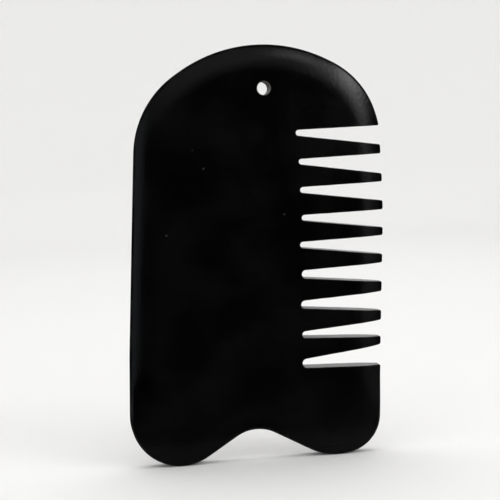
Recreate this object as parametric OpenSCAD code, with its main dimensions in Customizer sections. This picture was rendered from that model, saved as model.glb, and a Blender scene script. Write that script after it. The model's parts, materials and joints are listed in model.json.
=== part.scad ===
// A flat beard and hair comb worked from one slab of black polished stone.
//
// The comb is upright on its two feet, with its front face towards -Y, its
// teeth towards +X and its hanging hole at the top. The origin is the middle of the
// comb's box, at the level of the feet.

/* [Plate] */
// Height of the comb, from the feet to the crown
comb_h = 100; // [80:1:130]
// Thickness of the plate between its two flat faces
plate_t = 5.6; // [4.6:0.1:8]
// Thickness left at the rim, where the soft bevels meet the rounded edge
rim_t = 2.6; // [2.2:0.1:3.4]
// Width of the soft bevel that runs round each face
bevel_w = 6.5; // [3:0.5:7.5]
// How far in from the outline the rounded edge reaches
rim_in = 0.45; // [0.3:0.05:0.6]
// Share of the bevel's depth that is left at the feet, which are nearly flat
foot_bevel = 0.25; // [0.1:0.05:1]

/* [Teeth] */
// Width of a typical saw slot at its round root
slot_root_w = 1.6; // [1.2:0.1:2]
// Angle between the two walls of a typical slot
slot_flare = 8.6; // [7:0.2:9]
// How far the slots' roots lie from the plate's middle
slot_root_x = 11.7; // [9:0.1:14]

/* [Hanging hole] */
// Diameter of the drilled hole
hole_d = 3.2; // [2.4:0.1:5]
// Width of the small chamfer at each mouth of the hole
hole_chamfer = 0.2; // [0.1:0.05:0.4]

/* [Hidden] */

// The outline is a belt round these discs, anticlockwise from the foot under
// the spine: [x, z, radius] on a comb 100 high. A negative radius hollows it.
left_foot = [-19.8, 12, 12];
finger_notch = [-1.5, -1.5, -9.1];
right_foot = [18.2, 14, 14];
right_toe = [19.9, 9.5, 9.3];
tooth_line = [-196.5, 65, 228.5];
right_shoulder = [11.3, 77.2, 20.5];
crown = [3.2, 64.5, 35.5];
left_shoulder = [-4.5, 73.8, 23.5];
spine = [152.5, 17, 184];
belt = [left_foot, finger_notch, right_foot, right_toe, tooth_line,
        right_shoulder, crown, left_shoulder, spine];

// Where the middle of the hanging hole lies, on the same comb
hole_at = [3.5, 89.5];

// The slots are sawn by hand, so no two are quite alike. Each one's root
// height and the tilt of its middle line, then how much deeper, wider at the
// root and more open it is than the typical slot.
slots = [
    [78.6, -3.7,  0.2, -0.2,  0.4],
    [71.7, -3.7, -0.2, -0.3,  1.4],
    [64.9, -3.4, -0.3, -0.2,  0.6],
    [58.2, -3.3, -0.4, -0.2,  0.0],
    [51.7, -2.9,  0.2, -0.1,  0.2],
    [44.6, -1.8, -0.2,  0.4, -0.8],
    [37.3, -1.0,  0.3,  0.3, -0.4],
    [30.0,  0.8,  0.5,  0.0, -1.4],
    [23.0,  2.4,  0.4,  0.6, -0.2],
];

// One ring of the body has a point about every this many degrees of an arc
arc_step = 5;
rim_steps = 4;
bevel_steps = 6;
// Spare length of every cutter beyond the plate
spare = 1;
// A slot's walls stand this share of the root's radius off the middle line, so
// that they cross the round root at a clear angle
wall_share = 0.98;

// Heights, on a comb 100 high, between which the bevel fades towards the feet
fade_low = 10;
fade_high = 26;

k = comb_h / 100;
discs = k * belt;
disc_count = len(discs);

// Direction, in degrees, that the belt faces where it runs from disc i to the
// next: it touches both discs, so it stands off both centres by their radii.
function facing(i) =
    let (a = discs[i], b = discs[(i + 1) % disc_count],
         gap = [b[0] - a[0], b[1] - a[1]])
    atan2(gap[1], gap[0]) - acos((a[2] - b[2]) / norm(gap));

// The angle turned on disc i, positive where the outline bulges
function turn(i) =
    let (raw = facing(i) - facing((i + disc_count - 1) % disc_count))
    raw - 360 * round(raw / 360);

// Each outline point is [disc number, direction faced]
outline_marks = [
    for (i = [0 : disc_count - 1])
        let (steps = max(2, ceil(abs(turn(i)) / arc_step)),
             from = facing((i + disc_count - 1) % disc_count))
        for (s = [0 : steps])
            [i, from + turn(i) * s / steps]
];
mark_count = len(outline_marks);

// The outline drawn in by a distance: every disc loses that much radius
function outline(inset) = [
    for (m = outline_marks)
        let (d = discs[m[0]])
        [d[0] + (d[2] - inset) * cos(m[1]), d[1] + (d[2] - inset) * sin(m[1])]
];

rim_outline = outline(0);
mid_x = (min([for (p = rim_outline) p[0]]) + max([for (p = rim_outline) p[0]])) / 2;
low_z = min([for (p = rim_outline) p[1]]);

// The bevel leaves the rounded edge at this slope and dies out in the flat
// face, so the rounded edge turns through what is left of a right angle.
bevel_slope = (plate_t - rim_t) / (bevel_w - rim_in);
rim_turn = 90 - atan(bevel_slope);
rim_r = rim_in / (1 - cos(rim_turn));

// Half of the edge's section, from the rim inwards: [inset, half thickness]
half_section = concat(
    [for (s = [0 : rim_steps])
        let (a = rim_turn * s / rim_steps)
        [rim_r * (1 - cos(a)), rim_t / 2 - rim_r * (sin(rim_turn) - sin(a))]],
    [for (s = [1 : bevel_steps])
        let (left = 1 - s / bevel_steps)
        [bevel_w - (bevel_w - rim_in) * left,
         plate_t / 2 - (plate_t - rim_t) / 2 * left * left]]
);
section_count = len(half_section);

// The whole section, from the front face round the rim to the back face
section = concat(
    [for (s = [section_count - 1 : -1 : 0]) [half_section[s][0], -half_section[s][1]]],
    half_section
);
ring_count = len(section);

// Share of the bevel's depth at a height above the feet, fading smoothly
function bevel_share(height) =
    let (t = min(1, max(0, (height / k - fade_low) / (fade_high - fade_low))))
    foot_bevel + (1 - foot_bevel) * t * t * (3 - 2 * t);

// Where a point of the section lies through the plate, at a height
function through(y, height) =
    sign(y) * (plate_t / 2 - bevel_share(height) * (plate_t / 2 - abs(y)));

// The plate before it is sawn: the section carried round the outline, closed
// by a fan of triangles on each flat face
module blank() {
    points = concat(
        [for (s = section) for (p = outline(s[0])) [p[0], through(s[1], p[1] - low_z), p[1]]],
        [[mid_x, -plate_t / 2, comb_h / 2], [mid_x, plate_t / 2, comb_h / 2]]
    );
    front_middle = ring_count * mark_count;
    back_middle = front_middle + 1;
    last_ring = (ring_count - 1) * mark_count;
    walls = [
        for (r = [0 : ring_count - 2])
            for (i = [0 : mark_count - 1])
                let (j = (i + 1) % mark_count,
                     a = r * mark_count, b = a + mark_count)
                for (t = [[a + i, a + j, b + j], [a + i, b + j, b + i]])
                    t
    ];
    front = [for (i = [0 : mark_count - 1]) [front_middle, (i + 1) % mark_count, i]];
    back = [for (i = [0 : mark_count - 1])
        [back_middle, last_ring + i, last_ring + (i + 1) % mark_count]];
    polyhedron(points = points, faces = concat(walls, front, back));
}

// One saw slot: a round root and two straight walls that open to the teeth's
// tips. It is drawn with the root's centre at the origin, open towards +X.
module saw_slot(root_w, flare) {
    root_r = root_w / 2;
    reach = k * 30;
    start = wall_share * root_r * [-sin(flare / 2), cos(flare / 2)];
    end = start + reach * [cos(flare / 2), sin(flare / 2)];
    rotate([90, 0, 0])
        linear_extrude(height = plate_t + 2 * spare, center = true) {
            circle(r = root_r, $fn = 48);
            polygon([start, end, [end[0], -end[1]], [start[0], -start[1]]]);
        }
}

// The hanging hole, with a small chamfer at both mouths
module hanging_hole() {
    mouth_r = hole_d / 2 + hole_chamfer + spare;
    rotate([90, 0, 0]) {
        cylinder(h = plate_t + 2 * spare, d = hole_d, center = true, $fn = 96);
        for (side = [0, 180])
            rotate([side, 0, 0])
                translate([0, 0, plate_t / 2 - hole_chamfer])
                    cylinder(h = hole_chamfer + spare, r1 = hole_d / 2, r2 = mouth_r, $fn = 96);
    }
}

// The comb: the plate with its slots sawn and its hole drilled
module comb() {
    color("#16171a")
    difference() {
        translate([-mid_x, 0, -low_z])
            blank();
        for (slot = slots)
            translate([k * (slot_root_x - slot[2]), 0, k * slot[0]])
                rotate([0, -slot[1], 0])
                    saw_slot(k * (slot_root_w + slot[3]), slot_flare + slot[4]);
        translate([k * hole_at[0], 0, k * hole_at[1]])
            hanging_hole();
    }
}

comb();
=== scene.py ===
"""The looks of a beard comb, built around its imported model.

The comb is one slab of black polished stone: a flat plate with a soft bevel round both faces,
nine slots sawn by hand into one side, a drilled hanging hole under the crown, and two nearly
flat feet with a finger notch between them. The CAD node holds its size. This script puts one finely worked
surface in its place, with rounded edges, softened tooth tips and small chips, and dresses it.
"""
from __future__ import annotations

import json
import logging
import math
from dataclasses import dataclass, field
from enum import Enum

import bpy
import numpy as np
from mathutils import Matrix, Vector
from mathutils.geometry import delaunay_2d_cdt


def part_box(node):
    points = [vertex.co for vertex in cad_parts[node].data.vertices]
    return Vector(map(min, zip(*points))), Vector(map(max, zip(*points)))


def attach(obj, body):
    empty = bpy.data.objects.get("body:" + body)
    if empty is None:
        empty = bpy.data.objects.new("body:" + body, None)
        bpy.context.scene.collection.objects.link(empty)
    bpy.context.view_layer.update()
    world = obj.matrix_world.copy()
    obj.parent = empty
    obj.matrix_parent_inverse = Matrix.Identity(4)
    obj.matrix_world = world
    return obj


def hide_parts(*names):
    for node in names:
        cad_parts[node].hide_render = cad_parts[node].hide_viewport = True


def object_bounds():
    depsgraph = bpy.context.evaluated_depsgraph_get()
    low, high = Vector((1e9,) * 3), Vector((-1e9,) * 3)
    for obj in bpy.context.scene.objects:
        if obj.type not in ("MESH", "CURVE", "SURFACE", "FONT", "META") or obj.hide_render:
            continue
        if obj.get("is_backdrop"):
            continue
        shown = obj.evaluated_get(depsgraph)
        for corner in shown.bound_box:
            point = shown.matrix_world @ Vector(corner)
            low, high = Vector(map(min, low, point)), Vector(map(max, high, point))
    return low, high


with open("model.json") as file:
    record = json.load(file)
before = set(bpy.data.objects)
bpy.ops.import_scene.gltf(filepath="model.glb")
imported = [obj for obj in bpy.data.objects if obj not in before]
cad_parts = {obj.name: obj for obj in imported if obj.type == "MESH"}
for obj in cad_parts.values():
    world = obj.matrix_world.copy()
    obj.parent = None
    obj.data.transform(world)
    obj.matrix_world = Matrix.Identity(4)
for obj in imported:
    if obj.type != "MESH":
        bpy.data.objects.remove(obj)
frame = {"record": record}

LOG = logging.getLogger("comb")
MM = 0.001
TURN = 2.0 * math.pi


class CombNode(Enum):
    """The CAD node that the comb's piece stands for, and a material slot's name that nothing here uses."""

    BODY = "comb"
    STONE = "black_stone"


class Wall(Enum):
    """How a stretch of the comb's edge was made, as the value of its mesh attribute."""

    POLISHED = 0.0
    SAWN = 1.0


# ---------------------------------------------------------------- curves in the plate's plane


@dataclass(frozen=True)
class Disc:
    """A disc that the outline runs round like a belt, in millimetres.

    A negative radius hollows the outline instead of filling it.
    """

    x: float
    z: float
    radius: float


@dataclass(frozen=True)
class SawSlot:
    """One hand-sawn slot, in millimetres and degrees.

    root_z is the height of its round root and tilt the slope of its middle line. deeper, wider
    and opener say how it differs from the typical slot.
    """

    root_z: float
    tilt: float
    deeper: float
    wider: float
    opener: float


def belt(discs: tuple[Disc, ...], step: float) -> np.ndarray:
    """Return the closed line of a belt pulled round the discs, anticlockwise.

    Between two discs the belt touches both, so the direction it faces stands off the line of
    centres by the angle whose cosine is the difference of the radii over the distance. On a disc
    the belt is the arc between two such directions.

    Args:
        discs: the discs in the order that the belt meets them.
        step: the length between points on an arc, in millimetres.

    Returns:
        An array of points, one row each, as x and z in millimetres.
    """
    centre = np.array([(d.x, d.z) for d in discs])
    radius = np.array([d.radius for d in discs])
    gap = np.roll(centre, -1, axis=0) - centre
    reach = np.hypot(gap[:, 0], gap[:, 1])
    leaving = np.arctan2(gap[:, 1], gap[:, 0]) - np.arccos((radius - np.roll(radius, -1)) / reach)
    arriving = np.roll(leaving, 1)
    sweep = (leaving - arriving + math.pi) % TURN - math.pi
    counts = np.maximum(3, np.ceil(np.abs(sweep * radius) / step)).astype(int)
    arcs = []
    for index, count in enumerate(counts):
        angle = arriving[index] + sweep[index] * np.linspace(0.0, 1.0, count + 1)
        spoke = np.stack([np.cos(angle), np.sin(angle)], axis=1)
        arcs.append(centre[index] + radius[index] * spoke)
    return np.concatenate(arcs)


def lengths_along(line: np.ndarray) -> np.ndarray:
    """Return the distance along a closed line to each point, ending with its whole length.

    Args:
        line: the line's points, one row each.

    Returns:
        One distance for each point, then the length of the whole line.
    """
    step = np.roll(line, -1, axis=0) - line
    return np.concatenate([[0.0], np.cumsum(np.hypot(step[:, 0], step[:, 1]))])


def point_at(line: np.ndarray, distance: np.ndarray | float) -> np.ndarray:
    """Return the points that lie at the given distances along a closed line.

    Args:
        line: the line's points, one row each.
        distance: one distance or an array of them, wrapped round the line's length.

    Returns:
        The points, with x and z on the last axis.
    """
    along = lengths_along(line)
    closed = np.concatenate([line, line[:1]])
    wrapped = np.mod(distance, along[-1])
    return np.stack([np.interp(wrapped, along, closed[:, 0]),
                     np.interp(wrapped, along, closed[:, 1])], axis=-1)


def outward(line: np.ndarray) -> np.ndarray:
    """Return the unit normal that points out of the stone at each point of a closed line.

    It is the mean direction of the two neighbouring stretches, turned a quarter to the right.

    Args:
        line: the line's points, with the stone on its left.

    Returns:
        One unit vector for each point.
    """
    ahead = np.roll(line, -1, axis=0) - line
    ahead /= np.linalg.norm(ahead, axis=1, keepdims=True)
    tangent = ahead + np.roll(ahead, 1, axis=0)
    tangent /= np.linalg.norm(tangent, axis=1, keepdims=True)
    return np.stack([tangent[:, 1], -tangent[:, 0]], axis=1)


def bend_radius(line: np.ndarray) -> np.ndarray:
    """Return the radius of the tightest bend to the left near each point of a closed line.

    It is the length round a point over the turn there, the least of five neighbours, and very
    large where the line is straight or bends to the right.

    Args:
        line: the line's points, one row each.

    Returns:
        One radius for each point, in the line's unit.
    """
    step = np.roll(line, -1, axis=0) - line
    length = np.hypot(step[:, 0], step[:, 1])
    heading = np.arctan2(step[:, 1], step[:, 0])
    turn = (heading - np.roll(heading, 1) + math.pi) % TURN - math.pi
    radius = (length + np.roll(length, 1)) / 2.0 / np.maximum(turn, 1e-6)
    return np.min([np.roll(radius, shift) for shift in range(-2, 3)], axis=0)


def distance_to(points: np.ndarray, line: np.ndarray, share: int = 2000) -> np.ndarray:
    """Return each point's distance to a closed line.

    It is the least of its distances to the line's stretches, worked out for a share of the points
    at a time to keep the arrays small.

    Args:
        points: the points to measure from, one row each.
        line: the closed line's points.
        share: how many points are worked out at a time.

    Returns:
        One distance for each point.
    """
    start, step = line, np.roll(line, -1, axis=0) - line
    square = np.maximum((step ** 2).sum(axis=1), 1e-12)
    parts = []
    for block in np.array_split(points, max(1, len(points) // share)):
        rel = block[:, None, :] - start
        share_along = np.clip((rel * step).sum(axis=2) / square, 0.0, 1.0)
        off = rel - share_along[..., None] * step
        parts.append(np.sqrt((off ** 2).sum(axis=2).min(axis=1)))
    return np.concatenate(parts)


def inside(points: np.ndarray, line: np.ndarray, share: int = 2000) -> np.ndarray:
    """Return whether each point is inside a closed line, by the crossings to its right.

    Args:
        points: the points to test, one row each.
        line: the closed line's points.
        share: how many points are worked out at a time.

    Returns:
        One truth value for each point: whether the crossings are odd in number.
    """
    low, high = line, np.roll(line, -1, axis=0)
    parts = []
    for block in np.array_split(points, max(1, len(points) // share)):
        x, z = block[:, :1], block[:, 1:]
        spans = (low[:, 1] > z) != (high[:, 1] > z)
        rise = np.where(high[:, 1] == low[:, 1], 1.0, high[:, 1] - low[:, 1])
        cross = low[:, 0] + (z - low[:, 1]) * (high[:, 0] - low[:, 0]) / rise
        parts.append((spans & (x < cross)).sum(axis=1) % 2 == 1)
    return np.concatenate(parts)


def ripple(places: np.ndarray, period: float, waves: tuple[int, ...], seed: int) -> np.ndarray:
    """Return a smooth seeded wander between about -1 and 1 that repeats after a period.

    It adds sine waves that fit the period a whole number of times, each with its own random
    phase, and divides by the square root of their number.

    Args:
        places: where to work it out.
        period: the length after which it repeats.
        waves: how many times each wave fits the period.
        seed: the seed of the random phases.

    Returns:
        One value for each place.
    """
    phases = np.random.default_rng(seed).uniform(0.0, TURN, len(waves))
    total = sum(np.sin(TURN * wave * places / period + phase) for wave, phase in zip(waves, phases))
    return total / math.sqrt(len(waves))


def smoothed(values: np.ndarray, reach: int) -> np.ndarray:
    """Return values round a closed line, each averaged over its neighbours within reach.

    Args:
        values: one value for each point of the line.
        reach: how many neighbours on each side take part, with falling weights.

    Returns:
        As many values, smoothed.
    """
    kernel = np.hanning(2 * reach + 3)[1:-1]
    kernel /= kernel.sum()
    wrapped = np.concatenate([values[-reach:], values, values[:reach]])
    return np.convolve(wrapped, kernel, mode="valid")


# ---------------------------------------------------------------- the comb


@dataclass
class EdgePath:
    """The comb's edge seen from the front, with what varies along it.

    Attributes:
        points: x and z of each point, in millimetres, with the stone on the left.
        sawn: 1 on a sawn wall and 0 on a polished rim.
        arris: the radius that rounds the edge into the two faces, in millimetres.
    """

    points: np.ndarray
    sawn: np.ndarray
    arris: np.ndarray


@dataclass
class StoneComb:
    """The comb: its sizes in millimetres, and the work of shaping and dressing it.

    Attributes:
        discs: what the outline runs round, and slots: what is sawn into it, bottom to top.
        tip_cut: how far each side of a tooth's corner is rounded off.
        rim_inset: how far the outline is drawn in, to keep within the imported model's box.
        foot_bevel: the share of the bevel's depth that is left below fade_low.
        arris_growth: how fast the rim's arris may widen away from a sawn corner.
        arris_share: the most of the outline's own bend that an arris may take up.
        support_gap: the width of the strip of flat face that borders each arris.
        tip_polish: how raw a sawn wall still is at the tips, against 1 at the root.
        hole_dust: the sawn attribute in the drilled hole, over 1 because it is paler.
    """

    discs: tuple[Disc, ...] = (
        Disc(-19.8, 12.0, 12.0),
        Disc(-1.5, -1.5, -9.1),
        Disc(18.2, 14.0, 14.0),
        Disc(19.9, 9.5, 9.3),
        Disc(-196.5, 65.0, 228.5),
        Disc(11.3, 77.2, 20.5),
        Disc(3.2, 64.5, 35.5),
        Disc(-4.5, 73.8, 23.5),
        Disc(152.5, 17.0, 184.0),
    )
    slots: tuple[SawSlot, ...] = (
        SawSlot(23.0, 2.4, 0.4, 0.6, -0.2),
        SawSlot(30.0, 0.8, 0.5, 0.0, -1.4),
        SawSlot(37.3, -1.0, 0.3, 0.3, -0.4),
        SawSlot(44.6, -1.8, -0.2, 0.4, -0.8),
        SawSlot(51.7, -2.9, 0.2, -0.1, 0.2),
        SawSlot(58.2, -3.3, -0.4, -0.2, 0.0),
        SawSlot(64.9, -3.4, -0.3, -0.2, 0.6),
        SawSlot(71.7, -3.7, -0.2, -0.3, 1.4),
        SawSlot(78.6, -3.7, 0.2, -0.2, 0.4),
    )
    slot_root_width: float = 1.6
    slot_flare: float = 8.6
    slot_root_x: float = 11.7
    tip_cut: float = 0.5
    rim_thickness: float = 2.6
    bevel_width: float = 6.5
    rim_depth: float = 0.45
    foot_bevel: float = 0.25
    fade_low: float = 10.0
    fade_high: float = 26.0
    rim_arris: float = 0.6
    tip_arris: float = 0.24
    arris_growth: float = 0.3
    arris_share: float = 0.45
    saw_arris: float = 0.16
    hole_arris: float = 0.18
    support_gap: float = 0.1
    face_sag: float = 0.03
    rim_inset: float = 0.03
    saw_wander: float = 0.012
    tip_polish: float = 0.35
    hole_dust: float = 2.2
    path_step: float = 0.5
    bevel_ring_gap: float = 0.65
    lattice_gap: float = 1.5
    ring_step: float = 0.8
    ring_start: float = 0.9
    edge_clear: float = 0.55
    rim_clear: float = 0.8
    hole_clear: float = 0.7
    arris_rows: int = 5
    wall_rows: int = 4
    seed: int = 7
    low: np.ndarray = field(default_factory=lambda: np.array(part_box(CombNode.BODY.value)[0]) / MM)
    high: np.ndarray = field(default_factory=lambda: np.array(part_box(CombNode.BODY.value)[1]) / MM)

    def __post_init__(self) -> None:
        """Work out the outline, in the frame's place, and the hole from the record's mount."""
        rim = belt(self.discs, self.path_step)
        centre_x = (rim[:, 0].min() + rim[:, 0].max()) / 2.0
        middle = (self.low[0] + self.high[0]) / 2.0
        rim += np.array([middle - centre_x, self.low[2] - rim[:, 1].min()])
        self.rim = rim - outward(rim) * self.rim_inset
        self.thickness = self.high[1] - self.low[1]
        mount = next(m for m in frame["record"]["mounts"] if m["name"] == "hang_hole")
        self.hole_centre = np.array([mount["pos_m"][0], mount["pos_m"][2]]) / MM
        self.hole_radius = mount["dims"]["r_mm"]

    # ---- the edge seen from the front

    def wall(self, slot: SawSlot, side: int) -> tuple[np.ndarray, np.ndarray]:
        """Return where a slot's wall leaves its round root, and the wall's direction.

        Args:
            slot: the slot.
            side: 1 for the upper wall, -1 for the lower wall.

        Returns:
            The touching point and the unit direction towards the teeth's tips.
        """
        flare = self.slot_flare + slot.opener
        angle = math.radians(slot.tilt + side * flare / 2.0)
        radius = (self.slot_root_width + slot.wider) / 2.0
        root = np.array([self.slot_root_x - slot.deeper, slot.root_z])
        start = root + side * radius * np.array([-math.sin(angle), math.cos(angle)])
        return start, np.array([math.cos(angle), math.sin(angle)])

    def crossing(self, start: np.ndarray, direction: np.ndarray) -> tuple[float, np.ndarray]:
        """Return the distance along the rim at which a wall's line leaves it, and the point.

        The rim's points change sides of the line there, so the point lies between two of them in
        proportion to how far each is off the line.

        Args:
            start: a point of the wall.
            direction: the wall's unit direction towards the teeth's tips.

        Returns:
            The distance along the rim, and x and z there, in millimetres.
        """
        rel = self.rim - start
        off = direction[0] * rel[:, 1] - direction[1] * rel[:, 0]
        after = np.roll(off, -1)
        hit = np.flatnonzero((off <= 0.0) & (after > 0.0) & (rel @ direction > 0.0))[0]
        share = off[hit] / (off[hit] - after[hit])
        along = lengths_along(self.rim)
        place = along[hit] + share * (along[hit + 1] - along[hit])
        return float(place), point_at(self.rim, place)

    @staticmethod
    def rounded(before: np.ndarray, corner: np.ndarray, after: np.ndarray, count: int) -> np.ndarray:
        """Return a corner drawn as a quadratic curve that leaves both its sides smoothly.

        Args:
            before: the point on the first side where the curve starts.
            corner: the sharp corner.
            after: the point on the second side where the curve ends.
            count: how many points to return.

        Returns:
            The curve's points: (1 - t) squared of before, 2t(1 - t) of corner, t squared of after.
        """
        t = np.linspace(0.0, 1.0, count)[:, None]
        return (1 - t) ** 2 * before + 2 * t * (1 - t) * corner + t ** 2 * after

    def slot_path(self, slot: SawSlot) -> tuple[np.ndarray, float, float]:
        """Return the edge from the tip below a slot, in round its root, to the tip above it.

        Args:
            slot: the slot.

        Returns:
            The points, then the distances along the rim at which they leave and rejoin it.
        """
        low_start, low_way = self.wall(slot, -1)
        high_start, high_way = self.wall(slot, 1)
        leave, low_corner = self.crossing(low_start, low_way)
        rejoin, high_corner = self.crossing(high_start, high_way)
        leave -= self.tip_cut
        rejoin += self.tip_cut
        low_mouth = low_corner - self.tip_cut * low_way
        high_mouth = high_corner - self.tip_cut * high_way
        count = int(np.linalg.norm(low_mouth - low_start) / self.path_step)
        share = np.linspace(0.0, 1.0, count + 1)[:, None]
        root = np.array([self.slot_root_x - slot.deeper, slot.root_z])
        first = math.atan2(*(low_start - root)[::-1])
        last = math.atan2(*(high_start - root)[::-1])
        angle = np.linspace(first, last - TURN, 16)[1:-1, None]
        radius = (self.slot_root_width + slot.wider) / 2.0
        turn = root + radius * np.concatenate([np.cos(angle), np.sin(angle)], axis=1)
        pieces = [
            self.rounded(point_at(self.rim, leave), low_corner, low_mouth, 8)[:-1],
            low_mouth + share * (low_start - low_mouth),
            turn,
            high_start + share * (high_mouth - high_start),
            self.rounded(high_mouth, high_corner, point_at(self.rim, rejoin), 8)[1:],
        ]
        return np.concatenate(pieces), leave, rejoin

    def edge_path(self) -> EdgePath:
        """Return the whole edge: the rim, broken by each slot's walls, as one closed line.

        The walls wander a few hundredths of a millimetre, as a hand-held saw does, and they are
        rawest at the root and half polished at the tips. The arris is small on them and wider on
        the rim, with a few chips where the stone broke out.
        """
        cuts = [self.slot_path(slot) for slot in self.slots]
        whole = lengths_along(self.rim)[-1]
        points, sawn, arris = [], [], []
        for index, (cut, _, rejoin) in enumerate(cuts):
            onward = cuts[(index + 1) % len(cuts)][1]
            is_tip = index + 1 < len(cuts)
            span = (onward - rejoin) % whole
            count = max(3, int(span / self.path_step))
            run = span * np.linspace(0.0, 1.0, count + 1)[1:-1]
            tip = point_at(self.rim, rejoin + run)
            points += [cut, tip]
            depth = np.clip((cut[:, 0].max() - cut[:, 0]) / np.ptp(cut[:, 0]), 0.0, 1.0)
            worked = self.tip_polish + (1.0 - self.tip_polish) * np.sqrt(depth)
            sawn += [Wall.SAWN.value * worked, np.full(len(tip), Wall.POLISHED.value)]
            grown = self.saw_arris + self.arris_growth * np.minimum(run, span - run)
            widest = self.tip_arris if is_tip else self.rim_arris
            arris += [np.full(len(cut), self.saw_arris), np.minimum(grown, widest)]
        line = np.concatenate(points)
        sawn_at = smoothed(np.concatenate(sawn), 3)
        radius = smoothed(np.concatenate(arris), 5)
        along = lengths_along(line)
        wander = ripple(along[:-1], along[-1], (61, 97, 143, 211), self.seed)
        line = line - outward(line) * (self.saw_wander * sawn_at * (1.0 + wander))[:, None]
        radius += sawn_at * (0.04 * ripple(along[:-1], along[-1], (83, 157, 289), self.seed + 1))
        radius += sawn_at * self.chips(along)
        radius = np.minimum(radius, self.arris_share * bend_radius(line))
        return EdgePath(line, sawn_at, smoothed(radius, 1))

    def chips(self, along: np.ndarray, count: int = 70, size: float = 0.16) -> np.ndarray:
        """Return how much wider the arris is where it is chipped: a bell curve at each chip.

        Args:
            along: the distance to each point of the edge, ending with its whole length.
            count: how many chips there are.
            size: how deep the deepest chip is, in millimetres.

        Returns:
            One width for each point, in millimetres.
        """
        rng = np.random.default_rng(self.seed + 2)
        places = rng.uniform(0.0, along[-1], count)
        widths = rng.uniform(0.25, 0.6, count)
        depths = size * rng.uniform(0.2, 1.0, count) ** 2
        off = (along[:-1, None] - places) / widths
        return (depths * np.exp(-off ** 2)).sum(axis=1)

    def hole_path(self, count: int = 96) -> EdgePath:
        """Return the hanging hole's wall as a circle that keeps the stone on its left.

        Args:
            count: how many points the circle has.

        Returns:
            The path, with the drilled wall's dust and arris.
        """
        angle = -np.linspace(0.0, TURN, count, endpoint=False)
        circle = np.stack([np.cos(angle), np.sin(angle)], axis=1)
        points = self.hole_centre + self.hole_radius * circle
        return EdgePath(points, np.full(count, self.hole_dust), np.full(count, self.hole_arris))

    # ---- the thickness

    def half_thickness(self, points: np.ndarray) -> np.ndarray:
        """Return half the plate's thickness at points in its plane.

        On the flat it is half the slab. Within the bevel's width of the rim it falls away with
        the square of the way already gone towards the rim. The fall fades smoothly with the
        height, to the share foot_bevel of itself at the feet.

        Args:
            points: x and z of each point, in millimetres.

        Returns:
            One half thickness for each point, in millimetres.
        """
        depth = distance_to(points, self.rim)
        gone = np.clip((self.bevel_width - depth) / (self.bevel_width - self.rim_depth), 0.0, None)
        height = points[:, 1] - self.low[2]
        t = np.clip((height - self.fade_low) / (self.fade_high - self.fade_low), 0.0, 1.0)
        share = self.foot_bevel + (1.0 - self.foot_bevel) * t * t * (3.0 - 2.0 * t)
        fall = (self.thickness - self.rim_thickness) / 2.0 * share * gone ** 2
        return self.thickness / 2.0 - fall

    def sag(self, points: np.ndarray, seed: int) -> np.ndarray:
        """Return how far a hand-lapped face lies under true flat, never above it.

        It adds four long waves, each in its own random direction, and keeps the sum between
        nothing and face_sag.

        Args:
            points: x and z of each point, in millimetres.
            seed: which face, as a number added to the comb's seed.

        Returns:
            One depth for each point, in millimetres.
        """
        rng = np.random.default_rng(self.seed + seed)
        total = np.zeros(len(points))
        for period in (71.0, 47.0, 33.0, 26.0):
            way = rng.uniform(0.0, TURN)
            run = points @ np.array([math.cos(way), math.sin(way)])
            total += np.sin(TURN * run / period + rng.uniform(0.0, TURN)) * period / 71.0
        return self.face_sag * (0.5 + 0.2 * total).clip(0.0, 1.0)

    # ---- surfaces

    def band(self, edge: EdgePath) -> tuple[np.ndarray, np.ndarray, np.ndarray]:
        """Carry the edge's section along a path: front arris, wall, back arris.

        At the angle a of an arris of radius r the surface is drawn in by r(1 - cos a) and drops
        below the face by r(1 - sin a). The wall between the two arrises is straight.

        Args:
            edge: the path, with what varies along it.

        Returns:
            A grid of points, rows from the front face to the back face, with the sawn and the
            arris attribute of each.
        """
        a = np.linspace(math.pi / 2.0, 0.0, self.arris_rows + 1)
        across = np.linspace(-1.0, 1.0, self.wall_rows + 1)[1:-1]
        angle = np.concatenate([a[:1], a, np.zeros(len(across)), a[::-1], a[:1]])
        side = np.concatenate([-np.ones(len(a) + 1), across, np.ones(len(a) + 1)])
        gap = np.zeros(len(angle))
        gap[[0, -1]] = self.support_gap
        inset = edge.arris * (1.0 - np.cos(angle))[:, None] + gap[:, None]
        flat = edge.points - outward(edge.points) * inset[..., None]
        rows = flat.reshape(-1, 2)
        face = self.half_thickness(rows).reshape(inset.shape)
        front = self.sag(rows, 11).reshape(inset.shape)
        back = self.sag(rows, 12).reshape(inset.shape)
        drop = edge.arris * (1.0 - np.sin(angle))[:, None]
        face = face - np.where(side[:, None] < 0.0, front, back) - drop
        y = side[:, None] * face
        grid = np.stack([flat[..., 0], y, flat[..., 1]], axis=-1)
        turned = np.cos(angle)[:, None]
        sawn = edge.sawn * turned ** 2
        arris = np.clip(2.0 * turned * np.sin(angle)[:, None], 0.0, 1.0) * np.ones_like(sawn)
        return grid, sawn, arris

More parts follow.
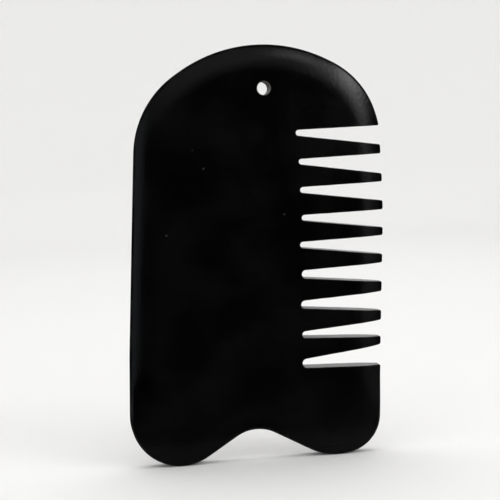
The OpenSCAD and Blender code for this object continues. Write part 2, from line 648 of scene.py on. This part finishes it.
    def face_points(self, edge: EdgePath) -> np.ndarray:
        """Return the points that fill a face: rings along the bevel and a lattice on the flat.

        Args:
            edge: the comb's edge, which the points keep clear of.

        Returns:
            x and z of each point, in millimetres.
        """
        whole = lengths_along(self.rim)[-1]
        normal = outward(self.rim)
        rings = []
        for depth in np.arange(self.ring_start, self.bevel_width + 0.5, self.bevel_ring_gap):
            ring = self.rim - normal * depth
            count = int(whole / self.ring_step)
            rings.append(point_at(ring, lengths_along(ring)[-1] * np.arange(count) / count))
        low, high = self.rim.min(axis=0), self.rim.max(axis=0)
        x, z = np.meshgrid(np.arange(low[0], high[0], self.lattice_gap),
                           np.arange(low[1], high[1], self.lattice_gap * math.sqrt(0.75)))
        x = x + np.where(np.arange(len(x)) % 2, self.lattice_gap / 2.0, 0.0)[:, None]
        lattice = np.stack([x.ravel(), z.ravel()], axis=1)
        deep = inside(lattice, self.rim)
        deep &= distance_to(lattice, self.rim) > self.bevel_width + self.ring_start
        points = np.concatenate(rings + [lattice[deep]])
        points = points[inside(points, edge.points)]
        clear = distance_to(points, edge.points) > self.edge_clear
        clear &= distance_to(points, self.rim) > self.rim_clear
        from_hole = np.linalg.norm(points - self.hole_centre, axis=1)
        return points[clear & (from_hole > self.hole_radius + self.hole_clear)]

    @staticmethod
    def filled(loops: list[np.ndarray], points: np.ndarray) -> np.ndarray:
        """Return the triangles of a flat region between closed loops, through given points.

        Args:
            loops: the outer loop and then the hole's loop, each as x and z.
            points: the points inside.

        Returns:
            Triangles, anticlockwise in x and z, as numbers into the loops' points and then the
            inside points.
        """
        every = np.concatenate(loops + [points])
        starts = np.cumsum([0] + [len(loop) for loop in loops])
        ties = [np.stack([np.arange(n), np.roll(np.arange(n), -1)], axis=1) + start
                for n, start in zip(map(len, loops), starts)]
        places = [Vector(place) for place in every.tolist()]
        found = delaunay_2d_cdt(places, np.concatenate(ties).tolist(), [], 1, 1e-9)
        if len(found[0]) != len(every):
            raise ValueError("two loops of a face cross each other")
        triangles = np.array(found[2])
        middle = every[triangles].mean(axis=1)
        in_hole = inside(middle, loops[1])
        return triangles[~in_hole & inside(middle, loops[0])]

    def surface(self) -> tuple[np.ndarray, list[np.ndarray], dict[str, np.ndarray]]:
        """Return the comb's closed surface: points in metres, faces and point attributes."""
        edge, hole = self.edge_path(), self.hole_path()
        bands = [self.band(edge), self.band(hole)]
        fill = self.face_points(edge)
        points, quads, firsts, lasts, base = [], [], [], [], 0
        sawn, arris = [], []
        for grid, is_sawn, is_arris in bands:
            rows, count = grid.shape[:2]
            number = base + np.arange(rows * count).reshape(rows, count)
            ahead = np.roll(number, -1, axis=1)
            quads.append(np.stack([number[:-1], number[1:], ahead[1:], ahead[:-1]], axis=-1))
            firsts.append(number[0])
            lasts.append(number[-1])
            points.append(grid.reshape(-1, 3))
            sawn.append(is_sawn.ravel())
            arris.append(is_arris.ravel())
            base += rows * count
        loops = [grid[0][:, [0, 2]] for grid, _, _ in bands]
        triangles = self.filled(loops, fill)
        faces = [q.reshape(-1, 4) for q in quads]
        half = self.half_thickness(fill)
        for side, rings, seed in ((-1.0, firsts, 11), (1.0, lasts, 12)):
            y = side * (half - self.sag(fill, seed))
            number = np.concatenate(rings + [base + np.arange(len(fill))])
            points.append(np.stack([fill[:, 0], y, fill[:, 1]], axis=1))
            faces.append(number[triangles if side < 0.0 else triangles[:, ::-1]])
            sawn.append(np.zeros(len(fill)))
            arris.append(np.zeros(len(fill)))
            base += len(fill)
        attributes = {"sawn": np.concatenate(sawn), "arris": np.concatenate(arris)}
        return np.concatenate(points) * MM, faces, attributes

    def build(self) -> bpy.types.Object:
        """Build the comb's piece, put it in the CAD node's place and dress it."""
        points, faces, attributes = self.surface()
        piece = mesh_object("comb_stone", points, faces, attributes)
        piece.data.materials.append(PolishedStone().material())
        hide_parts(CombNode.BODY.value)
        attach(piece, "root")
        return piece


def mesh_object(name: str, points: np.ndarray, faces: list[np.ndarray],
                attributes: dict[str, np.ndarray] | None = None) -> bpy.types.Object:
    """Make a smooth-shaded object at the origin from whole arrays.

    Args:
        name: the object's name.
        points: its points in metres, one row each.
        faces: arrays of faces, one array for each number of corners.
        attributes: numbers to store at the points, by name.

    Returns:
        The new object, linked to the scene.
    """
    mesh = bpy.data.meshes.new(name)
    corners = np.concatenate([f.ravel() for f in faces])
    totals = np.concatenate([np.full(len(f), f.shape[1]) for f in faces])
    mesh.vertices.add(len(points))
    mesh.vertices.foreach_set("co", points.astype(np.float32).ravel())
    mesh.loops.add(len(corners))
    mesh.loops.foreach_set("vertex_index", corners.astype(np.int32))
    mesh.polygons.add(len(totals))
    starts = np.concatenate([[0], np.cumsum(totals)[:-1]])
    mesh.polygons.foreach_set("loop_start", starts.astype(np.int32))
    mesh.polygons.foreach_set("use_smooth", np.ones(len(totals), dtype=bool))
    for key, values in (attributes or {}).items():
        layer = mesh.attributes.new(key, "FLOAT", "POINT")
        layer.data.foreach_set("value", values.astype(np.float32))
    mesh.update()
    mesh.validate()
    piece = bpy.data.objects.new(name, mesh)
    bpy.context.scene.collection.objects.link(piece)
    return piece


# ---------------------------------------------------------------- shader helpers and groups


class Graph:
    """A node tree being built: short calls to add a node, set its sockets and link it."""

    def __init__(self, tree: bpy.types.NodeTree) -> None:
        """Start on an empty tree."""
        self.tree = tree

    def add(self, kind: str, settings: dict | None = None, **inputs: object) -> bpy.types.Node:
        """Add a node.

        Args:
            kind: the node's type.
            settings: its own properties by name.
            inputs: its sockets by name, with _ for a blank, each a value or a socket to link.

        Returns:
            The node.
        """
        node = self.tree.nodes.new(kind)
        for key, value in (settings or {}).items():
            setattr(node, key, value)
        for key, value in inputs.items():
            self.put(node.inputs[key.replace("_", " ")], value)
        return node

    def put(self, socket: bpy.types.NodeSocket, value: object) -> None:
        """Link a socket to another, or set its value.

        Args:
            socket: the input to feed.
            value: the socket to link from, or the value to set.
        """
        if isinstance(value, bpy.types.NodeSocket):
            self.tree.links.new(value, socket)
        else:
            socket.default_value = value

    def math(self, operation: str, first: object, second: object = 0.0,
             clamp: bool = False) -> bpy.types.NodeSocket:
        """Add a Math node.

        Args:
            operation: what it does.
            first: its first value or socket.
            second: its second value or socket.
            clamp: whether the result is kept between 0 and 1.

        Returns:
            The socket with its result.
        """
        node = self.tree.nodes.new("ShaderNodeMath")
        node.operation = operation
        node.use_clamp = clamp
        self.put(node.inputs[0], first)
        self.put(node.inputs[1], second)
        return node.outputs[0]

    def mix(self, share: object, first: object, second: object) -> bpy.types.NodeSocket:
        """Add a colour Mix node.

        Args:
            share: how much of the second colour there is, from 0 to 1.
            first: the first colour or socket.
            second: the second colour or socket.

        Returns:
            The socket with the mixed colour.
        """
        node = self.tree.nodes.new("ShaderNodeMix")
        node.data_type = "RGBA"
        self.put(node.inputs["Factor"], share)
        self.put(node.inputs[6], first)
        self.put(node.inputs[7], second)
        return node.outputs[2]

    def spread(self, value: object, low: object, high: object,
               to_low: float = 0.0, to_high: float = 1.0) -> bpy.types.NodeSocket:
        """Add a smooth Map Range node.

        Args:
            value: the value or socket to spread.
            low: the value that becomes to_low.
            high: the value that becomes to_high.
            to_low: the least result.
            to_high: the greatest result.

        Returns:
            The socket with the result.
        """
        node = self.tree.nodes.new("ShaderNodeMapRange")
        node.interpolation_type = "SMOOTHSTEP"
        for index, item in enumerate((value, low, high, to_low, to_high)):
            self.put(node.inputs[index], item)
        return node.outputs[0]


def new_group(name: str, inputs: dict[str, tuple[str, object]],
              outputs: dict[str, str]) -> tuple[bpy.types.NodeTree, Graph, dict, bpy.types.Node]:
    """Start a shader node group.

    Args:
        name: the group's name.
        inputs: each input's name with its socket type and default, or None for no default.
        outputs: each output's name with its socket type.

    Returns:
        The group, a graph on it, its input sockets by name and its output node.
    """
    tree = bpy.data.node_groups.new(name, "ShaderNodeTree")
    for key, (kind, default) in inputs.items():
        socket = tree.interface.new_socket(key, in_out="INPUT", socket_type=kind)
        if default is not None:
            socket.default_value = default
    for key, kind in outputs.items():
        tree.interface.new_socket(key, in_out="OUTPUT", socket_type=kind)
    graph = Graph(tree)
    entry = graph.add("NodeGroupInput")
    leave = graph.add("NodeGroupOutput")
    return tree, graph, {key: entry.outputs[key] for key in inputs}, leave


VECTOR, NUMBER = "NodeSocketVector", "NodeSocketFloat"


def clouds_group() -> bpy.types.NodeTree:
    """Make the group for soft blotches: two sizes of noise, spread between two levels."""
    tree, graph, given, leave = new_group(
        "soft_clouds",
        {"Vector": (VECTOR, None), "Scale": (NUMBER, 60.0), "Low": (NUMBER, 0.4), "High": (NUMBER, 0.7)},
        {"Mask": NUMBER})
    wide = graph.add("ShaderNodeTexNoise", Vector=given["Vector"], Scale=given["Scale"],
                     Detail=1.0, Roughness=0.4)
    close_scale = graph.math("MULTIPLY", given["Scale"], 4.3)
    close = graph.add("ShaderNodeTexNoise", Vector=given["Vector"], Scale=close_scale,
                      Detail=3.0, Roughness=0.6)
    weight = graph.math("MULTIPLY", close.outputs["Fac"], 0.25)
    both = graph.math("ADD", graph.math("MULTIPLY", wide.outputs["Fac"], 0.75), weight)
    graph.put(leave.inputs["Mask"], graph.spread(both, given["Low"], given["High"]))
    return tree


def grain_group() -> bpy.types.NodeTree:
    """Make the group for a fine surface grain: its value, and the normal that it bumps."""
    tree, graph, given, leave = new_group(
        "fine_grain",
        {"Vector": (VECTOR, None), "Scale": (NUMBER, 2500.0), "Depth": (NUMBER, 0.00001)},
        {"Value": NUMBER, "Normal": VECTOR})
    noise = graph.add("ShaderNodeTexNoise", Vector=given["Vector"], Scale=given["Scale"],
                      Detail=3.0, Roughness=0.6)
    bump = graph.add("ShaderNodeBump", Height=noise.outputs["Fac"], Distance=given["Depth"])
    graph.put(leave.inputs["Value"], noise.outputs["Fac"])
    graph.put(leave.inputs["Normal"], bump.outputs["Normal"])
    return tree


def specks_group() -> bpy.types.NodeTree:
    """Make the group for sparse dots: small cells' centres, kept in a random few of the cells."""
    tree, graph, given, leave = new_group(
        "sparse_specks",
        {"Vector": (VECTOR, None), "Scale": (NUMBER, 400.0), "Size": (NUMBER, 0.12),
         "Share": (NUMBER, 0.04)},
        {"Mask": NUMBER})
    cells = graph.add("ShaderNodeTexVoronoi", Vector=given["Vector"], Scale=given["Scale"])
    split = graph.add("ShaderNodeSeparateColor", Color=cells.outputs["Color"])
    chosen = graph.math("LESS_THAN", split.outputs["Red"], given["Share"])
    size = graph.math("MULTIPLY", given["Size"], split.outputs["Green"])
    near = graph.math("SUBTRACT", 1.0, graph.math("DIVIDE", cells.outputs["Distance"], size), clamp=True)
    graph.put(leave.inputs["Mask"], graph.math("MULTIPLY", chosen, near, clamp=True))
    return tree


def shared(name: str) -> bpy.types.NodeTree:
    """Return a shared node group, building it the first time it is asked for.

    Args:
        name: soft_clouds, fine_grain or sparse_specks.

    Returns:
        The group's node tree.
    """
    makers = {"soft_clouds": clouds_group, "fine_grain": grain_group, "sparse_specks": specks_group}
    return bpy.data.node_groups.get(name) or makers[name]()


def new_material(name: str) -> tuple[bpy.types.Material, Graph, bpy.types.Node]:
    """Start a material.

    Args:
        name: the material's name.

    Returns:
        The material, a graph on its tree and its Principled shader.
    """
    material = bpy.data.materials.new(name)
    material.use_nodes = True
    return material, Graph(material.node_tree), material.node_tree.nodes["Principled BSDF"]


@dataclass(frozen=True)
class PolishedStone:
    """Black stone with a satin polish, faintly clouded, rougher and greyer where it was sawn."""

    deep: tuple = (0.0003, 0.0003, 0.00035, 1.0)
    cloud: tuple = (0.0018, 0.0018, 0.0020, 1.0)
    saw_dust: tuple = (0.075, 0.075, 0.076, 1.0)
    drill_dust: tuple = (0.21, 0.20, 0.18, 1.0)
    worn: tuple = (0.030, 0.030, 0.032, 1.0)
    speck: tuple = (0.10, 0.095, 0.09, 1.0)
    wear_share: float = 0.4
    speck_share: float = 0.5
    polish: float = 0.17
    cloud_rough: float = 0.05
    grain_rough: float = 0.08
    sawn_rough: float = 0.10
    index: float = 1.52
    grain_size: float = 0.0008
    grain_depth: float = 0.00005

    def material(self) -> bpy.types.Material:
        """Build the stone's material from the shared groups and the piece's own attributes."""
        material, graph, shader = new_material("polished_black_stone")
        place = graph.add("ShaderNodeTexCoord").outputs["Object"]
        sawn = graph.add("ShaderNodeAttribute", {"attribute_name": "sawn"}).outputs["Fac"]
        arris = graph.add("ShaderNodeAttribute", {"attribute_name": "arris"}).outputs["Fac"]
        clouds = graph.add("ShaderNodeGroup", {"node_tree": shared("soft_clouds")},
                           Vector=place, Scale=75.0, Low=0.38, High=0.68).outputs["Mask"]
        grain = graph.add("ShaderNodeGroup", {"node_tree": shared("fine_grain")},
                          Vector=place, Scale=1.0 / self.grain_size, Depth=self.grain_depth)
        specks = graph.add("ShaderNodeGroup", {"node_tree": shared("sparse_specks")},
                           Vector=place, Scale=420.0, Size=0.16, Share=0.05).outputs["Mask"]
        patches = graph.add("ShaderNodeGroup", {"node_tree": shared("soft_clouds")},
                            Vector=place, Scale=260.0, Low=0.35, High=0.75).outputs["Mask"]
        worn = graph.math("MULTIPLY", arris, patches, clamp=True)
        colour = graph.mix(clouds, self.deep, self.cloud)
        colour = graph.mix(graph.math("MULTIPLY", sawn, 1.0, clamp=True), colour, self.saw_dust)
        colour = graph.mix(graph.spread(sawn, 1.2, 2.2), colour, self.drill_dust)
        colour = graph.mix(graph.math("MULTIPLY", worn, self.wear_share), colour, self.worn)
        colour = graph.mix(graph.math("MULTIPLY", specks, self.speck_share), colour, self.speck)
        graph.put(shader.inputs["Base Color"], colour)
        rough = graph.math("ADD", self.polish, graph.math("MULTIPLY", clouds, self.cloud_rough))
        grainy = graph.math("MULTIPLY", grain.outputs["Value"], self.grain_rough)
        rough = graph.math("ADD", rough, grainy)
        rough = graph.math("ADD", rough, graph.math("MULTIPLY", sawn, self.sawn_rough), clamp=True)
        graph.put(shader.inputs["Roughness"], rough)
        graph.put(shader.inputs["Normal"], grain.outputs["Normal"])
        shader.inputs["IOR"].default_value = self.index
        return material


# ---------------------------------------------------------------- the studio


@dataclass(frozen=True)
class Paper:
    """Matt studio paper with the faintest grain."""

    name: str
    colour: tuple

    def material(self) -> bpy.types.Material:
        """Build the paper's material."""
        material, graph, shader = new_material(self.name)
        place = graph.add("ShaderNodeTexCoord").outputs["Object"]
        grain = graph.add("ShaderNodeGroup", {"node_tree": shared("fine_grain")},
                          Vector=place, Scale=900.0, Depth=0.00002)
        shader.inputs["Base Color"].default_value = self.colour
        shader.inputs["Roughness"].default_value = 0.9
        graph.put(shader.inputs["Normal"], grain.outputs["Normal"])
        return material


@dataclass(frozen=True)
class SoftLight:
    """A rectangular soft light that faces the comb, in degrees, metres and radiance.

    in_gloss says whether the stone mirrors it, and in_shade whether it lights matt surfaces.
    radiance is how bright its face looks.
    """

    name: str
    azimuth: float
    elevation: float
    width: float
    height: float
    radiance: float
    colour: tuple = (1.0, 1.0, 1.0)
    distance: float = 0.9
    in_gloss: bool = True
    in_shade: bool = True

    def build(self) -> None:
        """Hang the light, facing the middle of the comb; its power is radiance, area and pi."""
        light = bpy.data.lights.new(self.name, "AREA")
        light.shape = "ELLIPSE"
        light.size, light.size_y = self.width, self.height
        light.energy = self.radiance * math.pi * self.width * self.height * math.pi / 4.0
        light.color = self.colour
        lamp = bpy.data.objects.new(self.name, light)
        az, el = math.radians(self.azimuth), math.radians(self.elevation)
        way = Vector((math.sin(az) * math.cos(el), -math.cos(az) * math.cos(el), math.sin(el)))
        lamp.location = Vector((0.0, 0.0, 0.05)) + way * self.distance
        lamp.rotation_euler = way.to_track_quat("Z", "Y").to_euler()
        lamp.visible_glossy = self.in_gloss
        lamp.visible_diffuse = self.in_shade
        lamp.visible_camera = False
        bpy.context.scene.collection.objects.link(lamp)


@dataclass(frozen=True)
class Studio:
    """A pale round stage with soft lights, in metres: not part of the comb."""

    floor_radius: float = 0.75
    bend_radius: float = 0.45
    wall_height: float = 1.2
    paper: tuple = (0.81, 0.81, 0.81, 1.0)
    turns: int = 96
    strip_half_width: float = 0.10
    strip_depth: float = 0.016
    strip_lift: float = 0.0002
    # painted shade: a darker copy of the floor paper, for the shaded floor that the stone mirrors near its
    # feet
    shaded_floor_paper: tuple = (0.10, 0.10, 0.10, 1.0)
    room_colour: tuple = (1.0, 0.995, 0.985, 1.0)
    room_light: float = 1.02
    lights: tuple[SoftLight, ...] = (
        SoftLight("overhead", 170.0, 80.0, 1.1, 1.1, 1.30, (1.0, 0.99, 0.97), 1.1, in_gloss=False),
        SoftLight("shoulder_core", 52.0, 32.0, 0.28, 0.30, 3.2),
        SoftLight("shoulder_middle", 40.0, 23.0, 0.32, 0.32, 1.4),
        SoftLight("shoulder_halo", 37.0, 13.0, 0.46, 0.38, 0.65),
        SoftLight("crown_edge", 29.0, 42.0, 0.22, 0.18, 1.2),
        SoftLight("tooth_haze", 44.0, -9.0, 0.62, 0.28, 0.13),
        SoftLight("crown_haze", 0.0, 46.0, 1.20, 0.55, 0.20),
        SoftLight("front_haze", -4.0, 24.0, 1.00, 0.26, 0.10),
        SoftLight("foot_haze", 8.0, -19.0, 0.70, 0.13, 0.08, in_shade=False),
        SoftLight("spine_fill", -55.0, 8.0, 0.60, 0.80, 0.28, (0.86, 0.92, 1.0)),
        SoftLight("backdrop_glow", 175.0, 12.0, 0.60, 0.45, 0.85, in_shade=False),
        SoftLight("rear_window", 150.0, 30.0, 0.50, 0.44, 1.20, in_shade=False),
        SoftLight("rear_haze", 205.0, 40.0, 0.90, 0.45, 0.22, in_shade=False),
    )

    def build(self) -> None:
        """Build the stage, the strip that only the stone's gloss sees, and the lights."""
        self.stage()
        self.near_floor()
        for light in self.lights:
            light.build()
        world = bpy.data.worlds.new("soft_room")
        world.use_nodes = True
        background = world.node_tree.nodes["Background"]
        background.inputs["Color"].default_value = self.room_colour
        background.inputs["Strength"].default_value = self.room_light
        bpy.context.scene.world = world
        world.cycles_visibility.glossy = False

    def stage(self) -> None:
        """Build the floor and its wall: a flat, a quarter bend and an upright, spun round Z."""
        bend = np.linspace(0.0, math.pi / 2.0, 25)
        flat = np.linspace(0.02, self.floor_radius, 12)
        radius = np.concatenate([flat, self.floor_radius + self.bend_radius * np.sin(bend[1:]),
                                 [self.floor_radius + self.bend_radius]])
        height = np.concatenate([np.zeros(len(flat)), self.bend_radius * (1.0 - np.cos(bend[1:])),
                                 [self.wall_height]])
        angle = np.linspace(0.0, TURN, self.turns, endpoint=False)
        grid = np.stack([np.outer(radius, np.cos(angle)), np.outer(radius, np.sin(angle)),
                         np.repeat(height[:, None], self.turns, axis=1)], axis=-1)
        number = np.arange(grid.shape[0] * self.turns).reshape(-1, self.turns)
        ahead = np.roll(number, -1, axis=1)
        quads = np.stack([number[:-1], number[1:], ahead[1:], ahead[:-1]], axis=-1).reshape(-1, 4)
        hub = number[0][None, :]
        stage = mesh_object("studio_stage", grid.reshape(-1, 3), [quads, hub])
        stage.data.materials.append(Paper("pale_paper", self.paper).material())
        stage.visible_glossy = False
        stage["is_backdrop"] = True

    def near_floor(self) -> None:
        """Lay the strip of floor in front of the comb that only the stone's gloss sees: darker paper,
        painted shade that stands in for the floor shaded next to the comb.
        """
        across, out, lift = self.strip_half_width, self.strip_depth, self.strip_lift
        corners = np.array([(-across, -out, lift), (across, -out, lift),
                            (across, 0.0, lift), (-across, 0.0, lift)])
        strip = mesh_object("studio_near_floor", corners, [np.array([[0, 1, 2, 3]])])
        strip.data.materials.append(Paper("shaded_floor_paper", self.shaded_floor_paper).material())
        strip.visible_camera = False
        strip.visible_diffuse = False
        strip.visible_shadow = False
        strip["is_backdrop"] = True


@dataclass(frozen=True)
class ViewCamera:
    """The camera: where it stands round the comb, in degrees and metres, and its lens."""

    azimuth: float = -8.5
    elevation: float = 4.5
    roll: float = -2.5
    distance: float = 0.3372
    lens: float = 100.8
    aim_off: tuple = (-0.0011, 0.0, 0.0010)

    def build(self) -> None:
        """Make the camera, aimed near the middle of the comb's box and rolled about its line."""
        low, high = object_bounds()
        aim = (Vector(low) + Vector(high)) / 2.0 + Vector(self.aim_off)
        az, el = math.radians(self.azimuth), math.radians(self.elevation)
        back = Vector((math.sin(az) * math.cos(el), -math.cos(az) * math.cos(el), math.sin(el)))
        right = Vector((0.0, 0.0, 1.0)).cross(back).normalized()
        turn = Matrix((right, back.cross(right), back)).transposed()
        data = bpy.data.cameras.new("view")
        data.lens = self.lens
        data.sensor_width = 36.0
        data.clip_start = 0.01
        camera = bpy.data.objects.new("view", data)
        spin = Matrix.Rotation(math.radians(self.roll), 4, "Z")
        camera.matrix_world = Matrix.Translation(aim + back * self.distance) @ turn.to_4x4() @ spin
        bpy.context.scene.collection.objects.link(camera)
        bpy.context.scene.camera = camera


def main() -> None:
    """Build the camera, the studio and the comb, and report each."""
    logging.basicConfig(level=logging.INFO, format="%(name)s: %(message)s")
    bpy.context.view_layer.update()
    bpy.context.scene.view_settings.view_transform = "Standard"
    ViewCamera().build()
    LOG.info("camera stands")
    Studio().build()
    LOG.info("studio is lit")
    piece = StoneComb().build()
    LOG.info("%s: %d points, %d faces", piece.name, len(piece.data.vertices), len(piece.data.polygons))
    bpy.context.view_layer.update()


if __name__ == "__main__":
    main()
